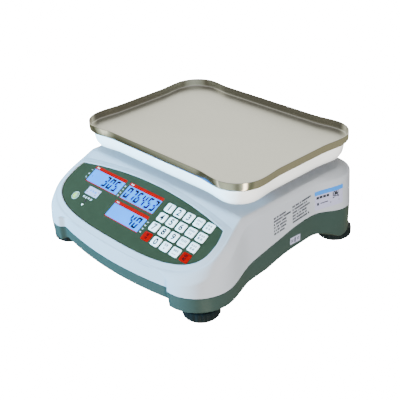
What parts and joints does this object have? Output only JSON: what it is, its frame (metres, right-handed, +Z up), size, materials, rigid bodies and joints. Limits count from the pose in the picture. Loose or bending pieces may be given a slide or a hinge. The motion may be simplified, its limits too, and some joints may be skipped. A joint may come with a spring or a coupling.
{
  "type": "counting scale",
  "caption": "Bench counting scale with a waisted steel tray on a white platter, sloping keypad console, two-tone moulded housing and screw feet.",
  "frame": {"origin": "on the bench under the middle of the housing's outline", "axes": "+Z up, the console faces -Y, +X is the right-hand side seen from the front"},
  "size_m": [0.313, 0.298, 0.1481],
  "materials": {
    "steel": "brushed stainless sheet",
    "white_moulding": "cool white ABS, fine satin gloss",
    "green_moulding": "grey-green ABS, satin",
    "overlay": "screen-printed polyester film, fine matt",
    "key_white": "white printed key, matt",
    "key_red": "red printed key, matt",
    "display": "sky-blue backlit display window",
    "vial": "clear level vial with yellow-green fluid",
    "lamp": "clear lamp lens",
    "cell_aluminium": "machined aluminium",
    "cast_aluminium": "sand-blasted casting",
    "fastener": "zinc-plated steel",
    "circuit_board": "green solder mask",
    "battery_case": "black battery case",
    "transformer_core": "varnished laminations",
    "black_moulding": "black nylon",
    "rocker_moulding": "black rocker",
    "foot_rubber": "black rubber-faced moulding"
  },
  "bodies": {
    "base": {"battery": "battery_case", "battery_cover": "green_moulding", "charge_lamp": "lamp", "display_board": "circuit_board", "housing_screw_front_left": "fastener", "housing_screw_front_right": "fastener", "housing_screw_rear_left": "fastener", "housing_screw_rear_right": "fastener", "keypad_overlay": "overlay", "lcd_quantity": "display", "lcd_unit_weight": "display", "lcd_weight": "display", "level_vial": "vial", "load_cell": "cell_aluminium", "load_cell_spacer": "cell_aluminium", "lower_housing": "green_moulding", "main_board": "circuit_board", "overload_stop": "fastener", "power_inlet": "black_moulding", "power_lamp": "lamp", "power_switch_frame": "black_moulding", "transformer": "transformer_core", "upper_housing": "white_moulding"},
    "platform": {"platform_spider": "cast_aluminium", "platter": "white_moulding", "cushion_front_left": "foot_rubber", "cushion_front_right": "foot_rubber", "cushion_rear_left": "foot_rubber", "cushion_rear_right": "foot_rubber"},
    "tray": {"weighing_tray": "steel"},
    "key_1": {"key_1": "key_white"},
    "key_2": {"key_2": "key_white"},
    "key_3": {"key_3": "key_white"},
    "key_weight_limit": {"key_weight_limit": "key_white"},
    "key_count_limit": {"key_count_limit": "key_white"},
    "key_4": {"key_4": "key_white"},
    "key_5": {"key_5": "key_white"},
    "key_6": {"key_6": "key_white"},
    "key_unit_weight": {"key_unit_weight": "key_white"},
    "key_sample_count": {"key_sample_count": "key_white"},
    "key_7": {"key_7": "key_white"},
    "key_8": {"key_8": "key_white"},
    "key_9": {"key_9": "key_white"},
    "key_tare": {"key_tare": "key_white"},
    "key_total": {"key_total": "key_white"},
    "key_clear": {"key_clear": "key_red"},
    "key_0": {"key_0": "key_white"},
    "key_decimal": {"key_decimal": "key_white"},
    "key_zero": {"key_zero": "key_white"},
    "key_recall": {"key_recall": "key_red"},
    "stud_front_left": {"foot_stud_front_left": "fastener"},
    "foot_front_left": {"foot_pad_front_left": "foot_rubber"},
    "stud_front_right": {"foot_stud_front_right": "fastener"},
    "foot_front_right": {"foot_pad_front_right": "foot_rubber"},
    "stud_rear_left": {"foot_stud_rear_left": "fastener"},
    "foot_rear_left": {"foot_pad_rear_left": "foot_rubber"},
    "stud_rear_right": {"foot_stud_rear_right": "fastener"},
    "foot_rear_right": {"foot_pad_rear_right": "foot_rubber"},
    "rocker": {"power_switch_rocker": "rocker_moulding"}
  },
  "joints": [
    {"name": "platform_deflection", "type": "slide", "parent": "base", "child": "platform", "axis": [0, 0, -1], "range_m": [0, 0.0004], "stiffness_N_per_m": 60000, "springref_m": -0.0004},
    {"name": "tray_lift_off", "type": "slide", "parent": "platform", "child": "tray", "axis": [0, 0, 1], "range_m": [0, 0.06]},
    {"name": "key_1_press", "type": "slide", "parent": "base", "child": "key_1", "axis": [0, 0.4924, -0.8704], "range_m": [0, 0.0005], "stiffness_N_per_m": 400, "springref_m": -0.0005},
    {"name": "key_2_press", "type": "slide", "parent": "base", "child": "key_2", "axis": [0, 0.4924, -0.8704], "range_m": [0, 0.0005], "stiffness_N_per_m": 400, "springref_m": -0.0005},
    {"name": "key_3_press", "type": "slide", "parent": "base", "child": "key_3", "axis": [0, 0.4924, -0.8704], "range_m": [0, 0.0005], "stiffness_N_per_m": 400, "springref_m": -0.0005},
    {"name": "key_weight_limit_press", "type": "slide", "parent": "base", "child": "key_weight_limit", "axis": [0, 0.4924, -0.8704], "range_m": [0, 0.0005], "stiffness_N_per_m": 400, "springref_m": -0.0005},
    {"name": "key_count_limit_press", "type": "slide", "parent": "base", "child": "key_count_limit", "axis": [0, 0.4924, -0.8704], "range_m": [0, 0.0005], "stiffness_N_per_m": 400, "springref_m": -0.0005},
    {"name": "key_4_press", "type": "slide", "parent": "base", "child": "key_4", "axis": [0, 0.4924, -0.8704], "range_m": [0, 0.0005], "stiffness_N_per_m": 400, "springref_m": -0.0005},
    {"name": "key_5_press", "type": "slide", "parent": "base", "child": "key_5", "axis": [0, 0.4924, -0.8704], "range_m": [0, 0.0005], "stiffness_N_per_m": 400, "springref_m": -0.0005},
    {"name": "key_6_press", "type": "slide", "parent": "base", "child": "key_6", "axis": [0, 0.4924, -0.8704], "range_m": [0, 0.0005], "stiffness_N_per_m": 400, "springref_m": -0.0005},
    {"name": "key_unit_weight_press", "type": "slide", "parent": "base", "child": "key_unit_weight", "axis": [0, 0.4924, -0.8704], "range_m": [0, 0.0005], "stiffness_N_per_m": 400, "springref_m": -0.0005},
    {"name": "key_sample_count_press", "type": "slide", "parent": "base", "child": "key_sample_count", "axis": [0, 0.4924, -0.8704], "range_m": [0, 0.0005], "stiffness_N_per_m": 400, "springref_m": -0.0005},
    {"name": "key_7_press", "type": "slide", "parent": "base", "child": "key_7", "axis": [0, 0.4924, -0.8704], "range_m": [0, 0.0005], "stiffness_N_per_m": 400, "springref_m": -0.0005},
    {"name": "key_8_press", "type": "slide", "parent": "base", "child": "key_8", "axis": [0, 0.4924, -0.8704], "range_m": [0, 0.0005], "stiffness_N_per_m": 400, "springref_m": -0.0005},
    {"name": "key_9_press", "type": "slide", "parent": "base", "child": "key_9", "axis": [0, 0.4924, -0.8704], "range_m": [0, 0.0005], "stiffness_N_per_m": 400, "springref_m": -0.0005},
    {"name": "key_tare_press", "type": "slide", "parent": "base", "child": "key_tare", "axis": [0, 0.4924, -0.8704], "range_m": [0, 0.0005], "stiffness_N_per_m": 400, "springref_m": -0.0005},
    {"name": "key_total_press", "type": "slide", "parent": "base", "child": "key_total", "axis": [0, 0.4924, -0.8704], "range_m": [0, 0.0005], "stiffness_N_per_m": 400, "springref_m": -0.0005},
    {"name": "key_clear_press", "type": "slide", "parent": "base", "child": "key_clear", "axis": [0, 0.4924, -0.8704], "range_m": [0, 0.0005], "stiffness_N_per_m": 400, "springref_m": -0.0005},
    {"name": "key_0_press", "type": "slide", "parent": "base", "child": "key_0", "axis": [0, 0.4924, -0.8704], "range_m": [0, 0.0005], "stiffness_N_per_m": 400, "springref_m": -0.0005},
    {"name": "key_decimal_press", "type": "slide", "parent": "base", "child": "key_decimal", "axis": [0, 0.4924, -0.8704], "range_m": [0, 0.0005], "stiffness_N_per_m": 400, "springref_m": -0.0005},
    {"name": "key_zero_press", "type": "slide", "parent": "base", "child": "key_zero", "axis": [0, 0.4924, -0.8704], "range_m": [0, 0.0005], "stiffness_N_per_m": 400, "springref_m": -0.0005},
    {"name": "key_recall_press", "type": "slide", "parent": "base", "child": "key_recall", "axis": [0, 0.4924, -0.8704], "range_m": [0, 0.0005], "stiffness_N_per_m": 400, "springref_m": -0.0005},
    {"name": "foot_front_left_height", "type": "slide", "parent": "base", "child": "stud_front_left", "axis": [0, 0, -1], "range_m": [0, 0.006]},
    {"name": "foot_front_left_turn", "type": "hinge", "parent": "stud_front_left", "child": "foot_front_left", "pos_m": [-0.129, -0.114, 0], "axis": [0, 0, -1], "range_deg": [0, 1710]},
    {"name": "foot_front_right_height", "type": "slide", "parent": "base", "child": "stud_front_right", "axis": [0, 0, -1], "range_m": [0, 0.006]},
    {"name": "foot_front_right_turn", "type": "hinge", "parent": "stud_front_right", "child": "foot_front_right", "pos_m": [0.129, -0.114, 0], "axis": [0, 0, -1], "range_deg": [0, 1710]},
    {"name": "foot_rear_left_height", "type": "slide", "parent": "base", "child": "stud_rear_left", "axis": [0, 0, -1], "range_m": [0, 0.006]},
    {"name": "foot_rear_left_turn", "type": "hinge", "parent": "stud_rear_left", "child": "foot_rear_left", "pos_m": [-0.129, 0.124, 0], "axis": [0, 0, -1], "range_deg": [0, 1710]},
    {"name": "foot_rear_right_height", "type": "slide", "parent": "base", "child": "stud_rear_right", "axis": [0, 0, -1], "range_m": [0, 0.006]},
    {"name": "foot_rear_right_turn", "type": "hinge", "parent": "stud_rear_right", "child": "foot_rear_right", "pos_m": [0.129, 0.124, 0], "axis": [0, 0, -1], "range_deg": [0, 1710]},
    {"name": "power_rocker", "type": "hinge", "parent": "base", "child": "rocker", "pos_m": [0.0885, -0.005, 0.0317], "axis": [0, -1, 0], "range_deg": [0, 20]}
  ],
  "couplings": [
    {"joint": "foot_front_left_height", "follows": "foot_front_left_turn", "m_per_rad": 0.00019894},
    {"joint": "foot_front_right_height", "follows": "foot_front_right_turn", "m_per_rad": 0.00019894},
    {"joint": "foot_rear_left_height", "follows": "foot_rear_left_turn", "m_per_rad": 0.00019894},
    {"joint": "foot_rear_right_height", "follows": "foot_rear_right_turn", "m_per_rad": 0.00019894}
  ]
}
